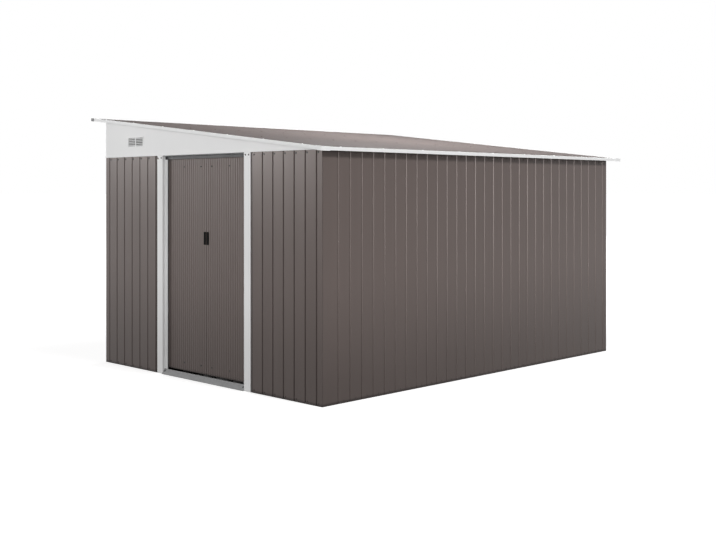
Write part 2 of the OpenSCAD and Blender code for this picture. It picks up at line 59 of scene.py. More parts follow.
# Pieces by finish
WALL_SHEETS = ("front_wall_left", "front_wall_right", "left_wall", "right_wall", "back_wall")
DOOR_SHEETS = ("left_door_leaf", "right_door_leaf")
ROOF_SHEETS = ("roof_panels",)
WHITE_PIECES = (
    "left_door_post", "right_door_post", "post_brackets", "front_gable", "back_gable",
    "front_roof_trim", "back_roof_trim", "left_roof_trim", "right_roof_trim",
    "roof_corner_caps", "front_vent", "back_vent",
)
ZINC_PIECES = (
    "front_base_rails", "left_base_rail", "right_base_rail", "back_base_rail",
    "front_left_corner_post", "front_right_corner_post",
    "back_left_corner_post", "back_right_corner_post",
    "front_top_rail", "back_top_rail", "left_eave_rail", "right_eave_rail", "wall_mid_rails",
    "roof_beams", "left_door_brace", "right_door_brace",
)
BLACK_PIECES = (
    "left_door_handle", "right_door_handle", "left_door_hangers", "right_door_hangers",
    "left_door_guides", "right_door_guides",
)
GREY_PIECES = ("roof_end_plugs",)

FRONT, BACK, LEFT, RIGHT = (
    Vector(way) for way in ((0, -1, 0), (0, 1, 0), (-1, 0, 0), (1, 0, 0)))


class ShedPaint(bpy.types.PropertyGroup):
    """Colours, roughness and painted shade of the finishes"""

    taupe: FloatVectorProperty(
        name="Taupe", description="Paint of the walls and doors", subtype="COLOR",
        min=0, max=1, default=(0.117, 0.093, 0.086))
    roof: FloatVectorProperty(
        name="Roof", description="Paint of the roof, slightly bleached", subtype="COLOR",
        min=0, max=1, default=(0.117, 0.097, 0.092))
    white: FloatVectorProperty(
        name="White", description="Paint of the posts, gables and roof trim", subtype="COLOR",
        min=0, max=1, default=(0.90, 0.90, 0.90))
    zinc: FloatVectorProperty(
        name="Zinc", description="Zinc coat of the frame inside", subtype="COLOR",
        min=0, max=1, default=(0.12, 0.122, 0.124))
    track: FloatVectorProperty(
        name="Track", description="Dull zinc of the tracks", subtype="COLOR",
        min=0, max=1, default=(0.042, 0.042, 0.043))
    sill: FloatVectorProperty(
        name="Sill", description="Dull zinc of the door sill", subtype="COLOR",
        min=0, max=1, default=(0.24, 0.241, 0.243))
    black: FloatVectorProperty(
        name="Black", description="Plastic of the handles and runners", subtype="COLOR",
        min=0, max=1, default=(0.005, 0.005, 0.005))
    grey: FloatVectorProperty(
        name="Grey", description="Plastic of the roof's end plugs", subtype="COLOR",
        min=0, max=1, default=(0.06, 0.06, 0.063))
    rubber: FloatVectorProperty(
        name="Rubber", description="Rubber of the sealing washers", subtype="COLOR",
        min=0, max=1, default=(0.02, 0.02, 0.02))
    dark_screw: FloatVectorProperty(
        name="Dark Screw", description="Steel of the unpainted screws", subtype="COLOR",
        min=0, max=1, default=(0.05, 0.05, 0.05))
    dull_screw: FloatVectorProperty(
        name="Dull Screw", description="Coat of the screws in the doors", subtype="COLOR",
        min=0, max=1, default=(0.072, 0.070, 0.069))
    sheet_roughness: FloatProperty(
        name="Sheet Roughness", description="Roughness of the taupe paint on the walls",
        subtype="FACTOR", min=0, max=1, default=0.305)
    door_roughness: FloatProperty(
        name="Door Roughness", description="Roughness of the taupe paint on the doors",
        subtype="FACTOR", min=0, max=1, default=0.42)
    roof_roughness: FloatProperty(
        name="Roof Roughness", description="Roughness of the weathered paint on the roof",
        subtype="FACTOR", min=0, max=1, default=0.62)
    trim_roughness: FloatProperty(
        name="Trim Roughness", description="Roughness of the white paint",
        subtype="FACTOR", min=0, max=1, default=0.45)
    # Painted shade: the taupe paint gets darker towards the ground
    foot_shade: FloatProperty(
        name="Foot Shade",
        description="Painted shade: tone of the taupe paint at the ground, against higher up",
        subtype="FACTOR", min=0, max=1, default=0.62)
    # Painted shade: a dark line along the lower edge of the wall and door sheets
    foot_shade_line: FloatProperty(
        name="Foot Shade Line", description="Tone of the taupe paint along the sheets' lower edge",
        subtype="FACTOR", min=0, max=1, default=0.38)
    # Painted shade: the paint is darker down in the front grooves
    groove_shade: FloatProperty(
        name="Groove Shade",
        description="Painted shade: tone of the paint down in the front grooves",
        subtype="FACTOR", min=0, max=1, default=0.62)
    # Painted shade: the white paint gets darker towards the ground
    trim_foot_shade: FloatProperty(
        name="Trim Foot Shade",
        description="Tone of the white paint at the ground, against higher up",
        subtype="FACTOR", min=0, max=1, default=0.84)


class ShedScrews(bpy.types.PropertyGroup):
    """Sizes of the screws and where they sit on the sheets"""

    washer_radius: FloatProperty(
        name="Washer Radius", description="Radius of the sealing washer", subtype="DISTANCE",
        default=0.0065)
    washer_height: FloatProperty(
        name="Washer Height", description="Thickness of the sealing washer", subtype="DISTANCE",
        default=0.0014)
    head_radius: FloatProperty(
        name="Head Radius", description="Radius of the pan head", subtype="DISTANCE",
        default=0.0044)
    head_height: FloatProperty(
        name="Head Height", description="Height of the pan head", subtype="DISTANCE",
        default=0.0028)
    groove_pitch: FloatProperty(
        name="Groove Pitch", description="Distance between the grooves in the side and back walls",
        subtype="DISTANCE", default=0.110)
    front_pitch: FloatProperty(
        name="Front Pitch", description="Distance between the grooves in the front wall",
        subtype="DISTANCE", default=0.1085)
    front_first: FloatProperty(
        name="First Front Groove", description="From the corner to the front wall's first groove",
        subtype="DISTANCE", default=0.0545)
    side_first: FloatProperty(
        name="First Side Groove", description="From the front corner to a side wall's first groove",
        subtype="DISTANCE", default=0.145)
    back_first: FloatProperty(
        name="First Back Groove", description="From the corner to the back wall's first groove",
        subtype="DISTANCE", default=0.077)
    beside_groove: FloatProperty(
        name="Beside Groove", description="From a front groove's middle to the screw on its right",
        subtype="DISTANCE", default=0.018)
    gable_drop: FloatProperty(
        name="Below Gable",
        description="From a gable's lower edge down to the row of screws under it",
        subtype="DISTANCE", default=0.017)
    eave_drop: FloatProperty(
        name="Below Eave", description="From a side wall's top down to its row of screws",
        subtype="DISTANCE", default=0.036)
    foot_rise: FloatProperty(
        name="Above Foot",
        description="From the walls' lower edge up to the row of screws in the base rails",
        subtype="DISTANCE", default=0.020)
    roof_angle: FloatProperty(
        name="Roof Angle", description="Slope of the roof, down to the right", subtype="ANGLE",
        default=math.atan2(ROOF_FALL, ROOF_RUN))
    sheet_depth: FloatProperty(
        name="Sheet Depth", description="Depth of the grooved roof sheets", subtype="DISTANCE",
        default=0.0078)
    seed: IntProperty(
        name="Seed", description="Seed for the turn of each screw's slot", min=0, default=7)


class ShedSeams(bpy.types.PropertyGroup):
    """Where the panels meet and the sealant in their seams"""

    wall_grooves: IntProperty(
        name="Wall Grooves", description="Grooves from one wall panel's seam to the next",
        min=1, default=7)
    roof_panels: IntProperty(
        name="Roof Panels", description="Panels side by side in the roof", min=1, default=5)
    bead_radius: FloatProperty(
        name="Bead Radius", description="Radius of a bead of sealant", subtype="DISTANCE",
        default=0.0016)
    bead_depth: FloatProperty(
        name="Bead Depth", description="From a sheet's face down to the middle of a bead",
        subtype="DISTANCE", default=0.0058)


class ShedStudio(bpy.types.PropertyGroup):
    """Camera, lights and floor"""

    camera_place: FloatVectorProperty(
        name="Camera Place", description="Where the camera stands", subtype="TRANSLATION",
        default=(6.2368, -6.3467, 1.3949))
    camera_heading: FloatProperty(
        name="Camera Heading", description="Turn of the level camera about the vertical",
        subtype="ANGLE", default=math.radians(44.853))
    lens: FloatProperty(
        name="Lens", description="Focal length in millimetres", default=53.0)
    shift: FloatProperty(
        name="Shift", description="Upward shift of the view, in picture widths",
        default=-0.1104)
    ambient: FloatProperty(
        name="Ambient", description="Strength of the even light from all around", default=0.10)
    key_power: FloatProperty(
        name="Key Power",
        description="Power of the light on the front left, which the front mirrors",
        subtype="POWER", default=1740.0)
    front_power: FloatProperty(
        name="Front Power",
        description="Power of the wide, low light on the front right, which the grooves mirror",
        subtype="POWER", default=2340.0)
    side_power: FloatProperty(
        name="Side Power", description="Power of the light on the right of the shed",
        subtype="POWER", default=3150.0)
    back_power: FloatProperty(
        name="Back Power", description="Power of the light behind the shed",
        subtype="POWER", default=1900.0)
    roof_power: FloatProperty(
        name="Roof Power", description="Power of the light over the middle of the roof",
        subtype="POWER", default=92.0)
    floor_reach: FloatProperty(
        name="Floor Reach", description="Half the side of the floor", subtype="DISTANCE",
        default=400.0)


class NodeSketch:
    """Adds nodes to a tree. A socket given as an input is linked, and any other value is set."""

    def __init__(self, tree):
        self.tree = tree

    def node(self, kind, inputs=None, **settings):
        """A new node with its settings and inputs"""
        made = self.tree.nodes.new(kind)
        for name, value in settings.items():
            setattr(made, name, value)
        for socket, value in (inputs or {}).items():
            if isinstance(value, bpy.types.NodeSocket):
                self.link(value, made.inputs[socket])
            else:
                made.inputs[socket].default_value = value
        return made

    def link(self, value, socket):
        """Sends a value to a socket"""
        self.tree.links.new(value, socket)

    def math(self, operation, *values):
        """The result of an operation on one or two values"""
        return self.node("ShaderNodeMath", dict(enumerate(values)), operation=operation).outputs[0]

    def noise(self, place, scale, detail):
        """Noise from 0 to 1"""
        inputs = {"Vector": place, "Scale": scale, "Detail": detail}
        return self.node("ShaderNodeTexNoise", inputs).outputs["Fac"]

    def spread(self, value, low, high, start=0.0, end=1.0, way="LINEAR"):
        """A value that goes from low to high while the given one goes from start to end"""
        inputs = {
            "Value": value, "From Min": start, "From Max": end, "To Min": low, "To Max": high}
        return self.node("ShaderNodeMapRange", inputs, interpolation_type=way).outputs["Result"]

    def bump(self, height, depth, under=None):
        """The normal of a surface with bumps of this depth, on top of those under them"""
        inputs = {"Height": height, "Distance": depth, "Strength": 1.0}
        if under is not None:
            inputs["Normal"] = under
        return self.node("ShaderNodeBump", inputs).outputs["Normal"]


def start_material(name):
    """A new material, its sketch, its shader and the Object coordinates"""
    material = bpy.data.materials.new(name)
    material.use_nodes = True
    sketch = NodeSketch(material.node_tree)
    shader = material.node_tree.nodes["Principled BSDF"]
    place = sketch.node("ShaderNodeTexCoord").outputs["Object"]
    return material, sketch, shader, place


def tint(sketch, shader, colour, tone):
    """Sends a colour, made lighter or darker by tone, to the shader"""
    inputs = {0: tuple(colour), "Scale": tone}
    shaded = sketch.node("ShaderNodeVectorMath", inputs, operation="SCALE").outputs["Vector"]
    sketch.link(shaded, shader.inputs["Base Color"])


def painted_shade_tone(sketch, place, foot_shade, foot_shade_line, line_top, front, groove_shade):
    """Tone of the painted shade: darker near the ground, a dark line along the lower edge, which
    ends at line_top, and where front is given, darker in the grooves of the sheet whose face lies
    at that y"""
    height_shade_top, line_blend = 0.9, 0.012
    groove_edge, groove_wall = 0.0005, 0.003
    sheet_inside, sheet_back = 0.0074, 0.0078
    axes = sketch.node("ShaderNodeSeparateXYZ", {0: place}).outputs
    # Painted shade: darker towards the ground
    height_shade = sketch.spread(axes["Z"], foot_shade, 1.0, 0.0, height_shade_top, "SMOOTHSTEP")
    # Painted shade: a dark line along the sheets' lower edge
    line = sketch.spread(axes["Z"], foot_shade_line, 1.0, line_top - line_blend, line_top)
    tone = sketch.math("MULTIPLY", height_shade, line)
    if front is None:
        return tone
    # Painted shade: darker down in the grooves of the front sheets
    depth = sketch.math("SUBTRACT", axes["Y"], front)
    painted_shade = sketch.math("MULTIPLY", sketch.spread(depth, 0.0, 1.0, groove_edge, groove_wall),
                       sketch.spread(depth, 1.0, 0.0, sheet_inside, sheet_back))
    return sketch.math("MULTIPLY", tone, sketch.spread(painted_shade, 1.0, groove_shade))


def painted_steel(name, colour, roughness, streak_scale, foot_shade=1.0, foot_shade_line=1.0,
                  line_top=0.024, shine=0.24, front=None, groove_shade=1.0):
    """Baked paint on rolled sheet: rolling streaks, orange peel, shallow dents, and painted shade
    where asked: at the foot, along the lower edge and in the front grooves
    """
    uneven, peel_depth, dent_depth = 0.06, 0.00004, 0.0015
    tinted = 0.5
    material, sketch, shader, place = start_material(name)
    stretch = {"Vector": place, "Scale": streak_scale}
    along = sketch.node("ShaderNodeMapping", stretch).outputs["Vector"]
    clouds = sketch.noise(place, scale=1.4, detail=3.0)
    streaks = sketch.noise(along, scale=1.0, detail=4.0)
    peel = sketch.noise(place, scale=420.0, detail=1.0)
    dents = sketch.noise(along, scale=0.4, detail=1.0)
    tone = sketch.math("MULTIPLY", sketch.spread(clouds, low=0.95, high=1.05),
                       sketch.spread(streaks, low=0.96, high=1.04))
    painted_shade = painted_shade_tone(sketch, place, foot_shade, foot_shade_line, line_top, front, groove_shade)
    tint(sketch, shader, colour, sketch.math("MULTIPLY", tone, painted_shade))
    sketch.link(sketch.spread(streaks, roughness - uneven, roughness + uneven),
                shader.inputs["Roughness"])
    shader.inputs["Specular IOR Level"].default_value = shine
    peak = max(colour)
    shader.inputs["Specular Tint"].default_value = (
        *(1.0 - tinted + tinted * part / peak for part in colour), 1.0)
    sheet = sketch.bump(dents, dent_depth)
    sketch.link(sketch.bump(peel, peel_depth, sheet), shader.inputs["Normal"])
    return material


def zinc_coat(name, colour, metal=0.85, shine=0.5):
    """Hot-dip zinc: crystals of slightly different tone and shine"""
    crystal_scale, crystal_depth = 75.0, 0.00003
    material, sketch, shader, place = start_material(name)
    inputs = {"Vector": place, "Scale": crystal_scale}
    crystals = sketch.node("ShaderNodeTexVoronoi", inputs).outputs["Color"]
    grain = sketch.node("ShaderNodeSeparateColor", {0: crystals}).outputs["Red"]
    stain = sketch.noise(place, scale=6.0, detail=4.0)
    tint(sketch, shader, colour, sketch.math(
        "MULTIPLY", sketch.spread(grain, low=0.90, high=1.08),
        sketch.spread(stain, low=0.92, high=1.06)))
    sketch.link(sketch.spread(grain, low=0.36, high=0.52), shader.inputs["Roughness"])
    sketch.link(sketch.bump(grain, crystal_depth), shader.inputs["Normal"])
    shader.inputs["Metallic"].default_value = metal
    shader.inputs["Specular IOR Level"].default_value = shine
    return material


def moulded_plastic(name, colour, shine=0.5):
    """Moulded plastic with a fine spark-eroded grain"""
    grain_depth = 0.00005
    material, sketch, shader, place = start_material(name)
    grain = sketch.noise(place, scale=900.0, detail=2.0)
    rub = sketch.noise(place, scale=30.0, detail=3.0)
    tint(sketch, shader, colour, sketch.spread(rub, low=0.85, high=1.15))
    sketch.link(sketch.spread(rub, low=0.42, high=0.58), shader.inputs["Roughness"])
    sketch.link(sketch.bump(grain, grain_depth), shader.inputs["Normal"])
    shader.inputs["Specular IOR Level"].default_value = shine
    return material


def screw_steel(name, colour, metal=0.7):
    """Screw steel with worn, shinier patches"""
    material, sketch, shader, place = start_material(name)
    wear = sketch.noise(place, scale=300.0, detail=3.0)
    tint(sketch, shader, colour, sketch.spread(wear, low=0.7, high=1.3))
    sketch.link(sketch.spread(wear, low=0.35, high=0.55), shader.inputs["Roughness"])
    shader.inputs["Metallic"].default_value = metal
    return material


def dress(nodes, material):
    """Gives CAD pieces their finish"""
    for name in nodes:
        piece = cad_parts[name]
        if not piece.material_slots:
            piece.data.materials.append(material)
        for slot in piece.material_slots:
            slot.material = material


def start_tree(name, inputs):
    """A new tree from geometry to geometry with these inputs, its sketch and what it is given"""
    tree = bpy.data.node_groups.new(name, "GeometryNodeTree")
    for socket, kind in (("Geometry", "Geometry"), *inputs):
        tree.interface.new_socket(socket, in_out="INPUT", socket_type="NodeSocket" + kind)
    tree.interface.new_socket("Geometry", in_out="OUTPUT", socket_type="NodeSocketGeometry")
    sketch = NodeSketch(tree)
    return tree, sketch, sketch.node("NodeGroupInput").outputs


def screw_tree():
    """Node tree that sets a pan-head screw with a washer on every point, facing as it says"""
    tree, sketch, given = start_tree("Pan head screws", (
        ("Washer Radius", "Float"), ("Washer Height", "Float"),
        ("Head Radius", "Float"), ("Head Height", "Float"), ("Seed", "Int"),
        ("Washer Finish", "Material"), ("Head Finish", "Material")))
    screw = screw_shape(sketch, given)
    facing = sketch.node(
        "GeometryNodeInputNamedAttribute", {"Name": "facing"}, data_type="FLOAT_VECTOR")
    aimed = sketch.node(
        "FunctionNodeAlignRotationToVector", {"Vector": facing.outputs["Attribute"]}, axis="Z")
    spin = sketch.node("FunctionNodeRandomValue", {
        "Min": 0.0, "Max": math.tau, "Seed": given["Seed"]})
    spun = sketch.node("FunctionNodeAxisAngleToRotation", {
        "Axis": (0.0, 0.0, 1.0), "Angle": next(s for s in spin.outputs if s.enabled)})
    turned = sketch.node("FunctionNodeRotateRotation", {
        "Rotation": aimed.outputs[0], "Rotate By": spun.outputs[0]}, rotation_space="LOCAL")
    placed = sketch.node("GeometryNodeInstanceOnPoints", {
        "Points": given["Geometry"], "Instance": screw, "Rotation": turned.outputs[0]})
    realized = sketch.node("GeometryNodeRealizeInstances", {0: placed.outputs[0]})
    washers = sketch.node("GeometryNodeSetMaterial", {
        "Geometry": realized.outputs[0], "Material": given["Washer Finish"]})
    is_head = sketch.node(
        "GeometryNodeInputNamedAttribute", {"Name": "head"}, data_type="BOOLEAN")
    heads = sketch.node("GeometryNodeSetMaterial", {
        "Geometry": washers.outputs[0], "Selection": is_head.outputs["Attribute"],
        "Material": given["Head Finish"]})
    sketch.node("NodeGroupOutput", {0: heads.outputs[0]})
    return tree


def screw_shape(sketch, given):
    """One screw on the origin, its washer on z = 0: turned steps, then a cross in the head"""
    sides = 12
    # Shares of the head's height and radius
    shoulder, crown, cross, slot = 0.55, 0.62, 0.52, 0.14
    above_washer = 1.01
    washer = sketch.node("GeometryNodeMeshCylinder", {
        "Vertices": sides, "Radius": given["Washer Radius"], "Depth": given["Washer Height"]})
    half_sector = math.pi / sides
    lift = sketch.node("ShaderNodeCombineXYZ", {
        "Z": sketch.math("MULTIPLY", given["Washer Height"], 0.5)})
    shape = sketch.node("GeometryNodeTransform", {
        "Geometry": washer.outputs["Mesh"], "Translation": lift.outputs[0],
        "Rotation": Euler((0.0, 0.0, half_sector))}).outputs[0]
    narrowing = sketch.math("DIVIDE", given["Head Radius"], given["Washer Radius"])
    wall = sketch.math("MULTIPLY", given["Head Height"], shoulder)
    dome = sketch.math("MULTIPLY", given["Head Height"], 1.0 - shoulder)
    top = washer.outputs["Top"]
    for rise, scale in ((0.0, narrowing), (wall, 1.0), (dome, crown)):
        step = sketch.node("GeometryNodeExtrudeMesh", {
            "Mesh": shape, "Selection": top, "Offset Scale": rise, "Individual": False})
        top = step.outputs["Top"]
        shape = sketch.node("GeometryNodeScaleElements", {
            "Geometry": step.outputs["Mesh"], "Selection": top, "Scale": scale}).outputs[0]
    rim = sketch.node("GeometryNodeExtrudeMesh", {
        "Mesh": shape, "Selection": top, "Offset Scale": 0.0, "Individual": False})
    radius, reach, half_slot = (
        sketch.math("MULTIPLY", given["Head Radius"], share) for share in (crown, cross, slot))
    shape = cross_outline(sketch, rim, radius, reach, half_slot)
    recess = sketch.node("GeometryNodeExtrudeMesh", {
        "Mesh": shape, "Selection": rim.outputs["Top"], "Individual": False,
        "Offset Scale": sketch.math("MULTIPLY", dome, -1.0)})
    place = sketch.node("GeometryNodeInputPosition").outputs[0]
    height = sketch.node("ShaderNodeSeparateXYZ", {0: place}).outputs["Z"]
    above = sketch.math("GREATER_THAN", height, sketch.math(
        "MULTIPLY", given["Washer Height"], above_washer))
    return sketch.node("GeometryNodeStoreNamedAttribute", {
        "Geometry": recess.outputs["Mesh"], "Name": "head", "Value": above},
        data_type="BOOLEAN", domain="FACE").outputs[0]


def cross_outline(sketch, rim, radius, reach, half_slot):
    """Moves the twelve corners of the head's top face to the outline of a cross"""
    outer_share = 0.85
    place = sketch.node("GeometryNodeInputPosition").outputs[0]
    corner = sketch.node("ShaderNodeSeparateXYZ", {0: place}).outputs
    limit = sketch.math("MULTIPLY", radius, outer_share)
    moved = {"Z": corner["Z"]}
    for axis in ("X", "Y"):
        outer = sketch.math("GREATER_THAN", sketch.math("ABSOLUTE", corner[axis]), limit)
        span = sketch.spread(outer, half_slot, reach)
        moved[axis] = sketch.math("MULTIPLY", sketch.math("SIGN", corner[axis]), span)
    target = sketch.node("ShaderNodeCombineXYZ", moved).outputs[0]
    return sketch.node("GeometryNodeSetPosition", {
        "Geometry": rim.outputs["Mesh"], "Selection": rim.outputs["Top"],
        "Position": target}).outputs[0]


def screw_in(name, body, spots, washer_finish, head_finish):
    """Makes one plain mesh of screws at the spots, each a place and the way its head faces"""
    sizes = bpy.context.scene.shed_screws
    points = bpy.data.meshes.new(name)
    points.from_pydata([place for place, way in spots], [], [])
    facing = points.attributes.new("facing", "FLOAT_VECTOR", "POINT")
    facing.data.foreach_set("vector", [part for place, way in spots for part in way])
    tree = bpy.data.node_groups.get("Pan head screws") or screw_tree()
    values = {
        "Washer Radius": sizes.washer_radius, "Washer Height": sizes.washer_height,
        "Head Radius": sizes.head_radius, "Head Height": sizes.head_height, "Seed": sizes.seed,
        "Washer Finish": washer_finish, "Head Finish": head_finish,
    }
    grow(name, points, tree, values, body)


def bead_tree():
    """Node tree that lays a round bead along every edge"""
    sides = 8
    tree, sketch, given = start_tree(
        "Sealant beads", (("Bead Radius", "Float"), ("Finish", "Material")))
    lines = sketch.node("GeometryNodeMeshToCurve", {"Mesh": given["Geometry"]})
    ring = sketch.node("GeometryNodeCurvePrimitiveCircle", {
        "Resolution": sides, "Radius": given["Bead Radius"]})
    beads = sketch.node("GeometryNodeCurveToMesh", {
        "Curve": lines.outputs[0], "Profile Curve": ring.outputs[0], "Fill Caps": True})
    realized = sketch.node("GeometryNodeRealizeInstances", {0: beads.outputs[0]})
    finished = sketch.node("GeometryNodeSetMaterial", {
        "Geometry": realized.outputs[0], "Material": given["Finish"]})
    sketch.node("NodeGroupOutput", {0: finished.outputs[0]})
    return tree


def seal(name, body, seams, finish):
    """Makes one plain mesh of beads along the seams, each from a place to a place"""
    ends = [place for seam in seams for place in seam]
    lines = [(first, first + 1) for first in range(0, len(ends), 2)]
    edges = bpy.data.meshes.new(name)
    edges.from_pydata(ends, lines, [])
    tree = bpy.data.node_groups.get("Sealant beads") or bead_tree()
    values = {"Bead Radius": bpy.context.scene.shed_seams.bead_radius, "Finish": finish}
    grow(name, edges, tree, values, body)


def grow(name, start, tree, values, body):
    """Runs a node tree on a mesh and keeps what it makes as a plain mesh on a body"""
    holder = bpy.data.objects.new(name, start)
    bpy.context.scene.collection.objects.link(holder)
    modifier = holder.modifiers.new(tree.name, "NODES")
    modifier.node_group = tree
    for socket in tree.interface.items_tree:
        if socket.in_out == "INPUT" and socket.name in values:
            modifier[socket.identifier] = values[socket.name]
    depsgraph = bpy.context.evaluated_depsgraph_get()
    plain = bpy.data.meshes.new_from_object(holder.evaluated_get(depsgraph))
    holder.modifiers.clear()
    holder.data = plain
    bpy.data.meshes.remove(start)
    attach(holder, body)


def steps(first, pitch, count):
    """Evenly spaced places from the first on"""
    return [first + pitch * i for i in range(count)]


def groove_count(length, first, pitch, margin):
    """How many grooves a wall of this length has, from its first to a margin before its end"""
    return int((length - first - margin) // pitch) + 1


def grooves_along(start, end, first):
    """Places of the grooves along a side or back wall, the first one that far from its start"""
    sizes = bpy.context.scene.shed_screws
    count = groove_count(end - start, first, sizes.groove_pitch, sizes.front_first)
    return steps(start + first, sizes.groove_pitch, count)


def on_roof(sizes, down, y, lift):
    """A point on the roof sheets, down the slope from their high edge, or that far above them"""
    low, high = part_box("roof_panels")
    sine, cosine = math.sin(sizes.roof_angle), math.cos(sizes.roof_angle)
    edge = Vector((low.x + sizes.sheet_depth * sine, y, high.z))
    return edge + down * Vector((cosine, 0.0, -sine)) + lift * Vector((sine, 0.0, cosine))


class SHED_OT_sheets(bpy.types.Operator):
    """Paints the wall, roof and door sheets taupe"""

    bl_idname = "shed.sheets"
    bl_label = "Paint Sheets"

    def execute(self, context):
        paint = context.scene.shed_paint
        upright = (16.0, 16.0, 0.7)
        down_slope = (0.7, 16.0, 16.0)
        # How far above a door leaf's lower edge its painted shade line ends
        door_line = 0.014
        # Painted shade on the walls and doors: darker towards the ground and along the lower edge,
        # and on the walls darker in the front grooves
        dress(WALL_SHEETS, painted_steel(
            "taupe_walls", paint.taupe, paint.sheet_roughness, upright, paint.foot_shade,
            paint.foot_shade_line, front=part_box("front_wall_left")[0].y, groove_shade=paint.groove_shade))
        dress(DOOR_SHEETS, painted_steel(
            "taupe_doors", paint.taupe, paint.door_roughness, upright, paint.foot_shade,
            paint.foot_shade_line, line_top=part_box("left_door_leaf")[0].z + door_line))
        dress(ROOF_SHEETS, painted_steel(
            "taupe_roof", paint.roof, paint.roof_roughness, down_slope, shine=0.06))
        return {"FINISHED"}


class SHED_OT_trim(bpy.types.Operator):
    """Paints the posts, gables, vents and roof trim white"""

    bl_idname = "shed.trim"
    bl_label = "Paint Trim"

    def execute(self, context):
        paint = context.scene.shed_paint
        all_ways = (3.0, 3.0, 3.0)
        # The white paint gets painted shade, darker towards the ground
        dress(WHITE_PIECES, painted_steel(
            "white_trim", paint.white, paint.trim_roughness, all_ways, paint.trim_foot_shade,
            shine=0.18))
        return {"FINISHED"}


class SHED_OT_frame(bpy.types.Operator):
    """Coats the rails, posts, beams, tracks and sill with zinc"""

    bl_idname = "shed.frame"
    bl_label = "Coat Frame"

    def execute(self, context):
        paint = context.scene.shed_paint
        dull, matt = 0.15, 0.15
        in_shade = 0.5
        dress(ZINC_PIECES, zinc_coat("zinc_frame", paint.zinc))
        dress(("top_track",), zinc_coat("dull_track", paint.track, metal=dull, shine=matt))
        # Painted shade: the bottom track, in the shade under the doors, is coated half as bright as
        # the top track
        dress(("bottom_track",), zinc_coat(
            "shaded_dark_track", paint.track * in_shade, metal=dull, shine=matt))
        dress(("door_sill",), zinc_coat("dull_sill", paint.sill, metal=dull))
        return {"FINISHED"}


class SHED_OT_plastics(bpy.types.Operator):
    """Moulds the handles, runners and roof plugs in plastic"""

    bl_idname = "shed.plastics"
    bl_label = "Mould Plastics"

    def execute(self, context):
        paint = context.scene.shed_paint
        dress(BLACK_PIECES, moulded_plastic("black_plastic", paint.black, shine=0.03))
        dress(GREY_PIECES, moulded_plastic("grey_plastic", paint.grey))
        return {"FINISHED"}


class SHED_OT_wall_screws(bpy.types.Operator):
    """Screws the wall sheets to the rails behind them"""

    bl_idname = "shed.wall_screws"
    bl_label = "Wall Screws"

    def execute(self, context):
        paint, sizes = context.scene.shed_paint, context.scene.shed_screws
        rubber = moulded_plastic("washer_rubber", paint.rubber)
        dark = screw_steel("dark_screws", paint.dark_screw)
        taupe = bpy.data.materials["taupe_walls"]
        under_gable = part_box("front_gable")[0].z - sizes.gable_drop
        dark_row, painted_rows = [], []
        for node, way in (
                ("front_wall_left", FRONT), ("front_wall_right", FRONT), ("back_wall", BACK)):
            low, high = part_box(node)
            y = low.y if way is FRONT else high.y
            for x in self.across_end(node, low, high, sizes):
                dark_row.append((Vector((x, y, under_gable)), way))
                painted_rows.append((Vector((x, y, low.z + sizes.foot_rise)), way))
        front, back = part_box("front_wall_left")[0].y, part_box("back_wall")[1].y
        for node, way in (("left_wall", LEFT), ("right_wall", RIGHT)):
            low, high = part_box(node)
            x = low.x if way is LEFT else high.x
            for y in self.between_grooves(front, back, sizes.side_first, sizes):
                painted_rows.append((Vector((x, y, high.z - sizes.eave_drop)), way))
                painted_rows.append((Vector((x, y, low.z + sizes.foot_rise)), way))
        screw_in("wall_head_screws", "shell", dark_row, rubber, dark)
        screw_in("wall_screws", "shell", painted_rows, taupe, taupe)
        return {"FINISHED"}

    def across_end(self, node, low, high, sizes):
        """Places of the screws across a front sheet, right of its grooves, or the back wall"""
        if node == "back_wall":
            return self.between_grooves(low.x, high.x, sizes.back_first, sizes)
        count = groove_count(high.x - low.x, sizes.front_first, sizes.front_pitch, 0.0)
        grooves = steps(sizes.front_first, sizes.front_pitch, count)
        if node == "front_wall_left":
            # The door post leaves no room beside the last groove
            return [low.x + groove + sizes.beside_groove for groove in grooves[:-1]]
        return [high.x - groove + sizes.beside_groove for groove in grooves]

    @staticmethod
    def between_grooves(start, end, first, sizes):
        """Places midway between the grooves of a wall"""
        return [groove + sizes.groove_pitch / 2 for groove in grooves_along(start, end, first)[:-1]]


class SHED_OT_door_screws(bpy.types.Operator):
    """Screws the hangers and guides to the door leaves"""

    bl_idname = "shed.door_screws"
    bl_label = "Door Screws"

    def execute(self, context):
        dull = moulded_plastic("dull_screws", context.scene.shed_paint.dull_screw, shine=0.1)
        insets = (0.062, 0.270, 0.478)
        heights = (0.107, 1.575)
        for side, turn in (("left", -1), ("right", 1)):
            low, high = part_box(side + "_door_leaf")
            meeting = high.x if turn < 0 else low.x
            spots = [(Vector((meeting + turn * inset, low.y, z)), FRONT)
                     for inset in insets for z in heights]
            screw_in(side + "_door_screws", side + "_door", spots, dull, dull)
        return {"FINISHED"}


class SHED_OT_doorway_screws(bpy.types.Operator):
    """Screws the post brackets under the gable and the sill to the base"""

    bl_idname = "shed.doorway_screws"
    bl_label = "Doorway Screws"

    def execute(self, context):
        sizes = context.scene.shed_screws
        rubber = bpy.data.materials["washer_rubber"]
        dark = bpy.data.materials["dark_screws"]
        across_brackets = (-0.507, 0.507, 0.542)
        sill_inset = 0.020
        ramp, up_ramp = Vector((0.0, 0.030, 0.039)), 0.6
        low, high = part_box("post_brackets")
        z = high.z - sizes.gable_drop
        spots = [(Vector((x, low.y, z)), FRONT) for x in across_brackets]
        low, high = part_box("door_sill")
        up = Vector((0.0, -ramp.z, ramp.y)).normalized()
        for x in (low.x + sill_inset, high.x - sill_inset):
            spots.append((Vector((x, low.y, low.z)) + ramp * up_ramp, up))
        screw_in("doorway_screws", "shell", spots, rubber, dark)
        return {"FINISHED"}


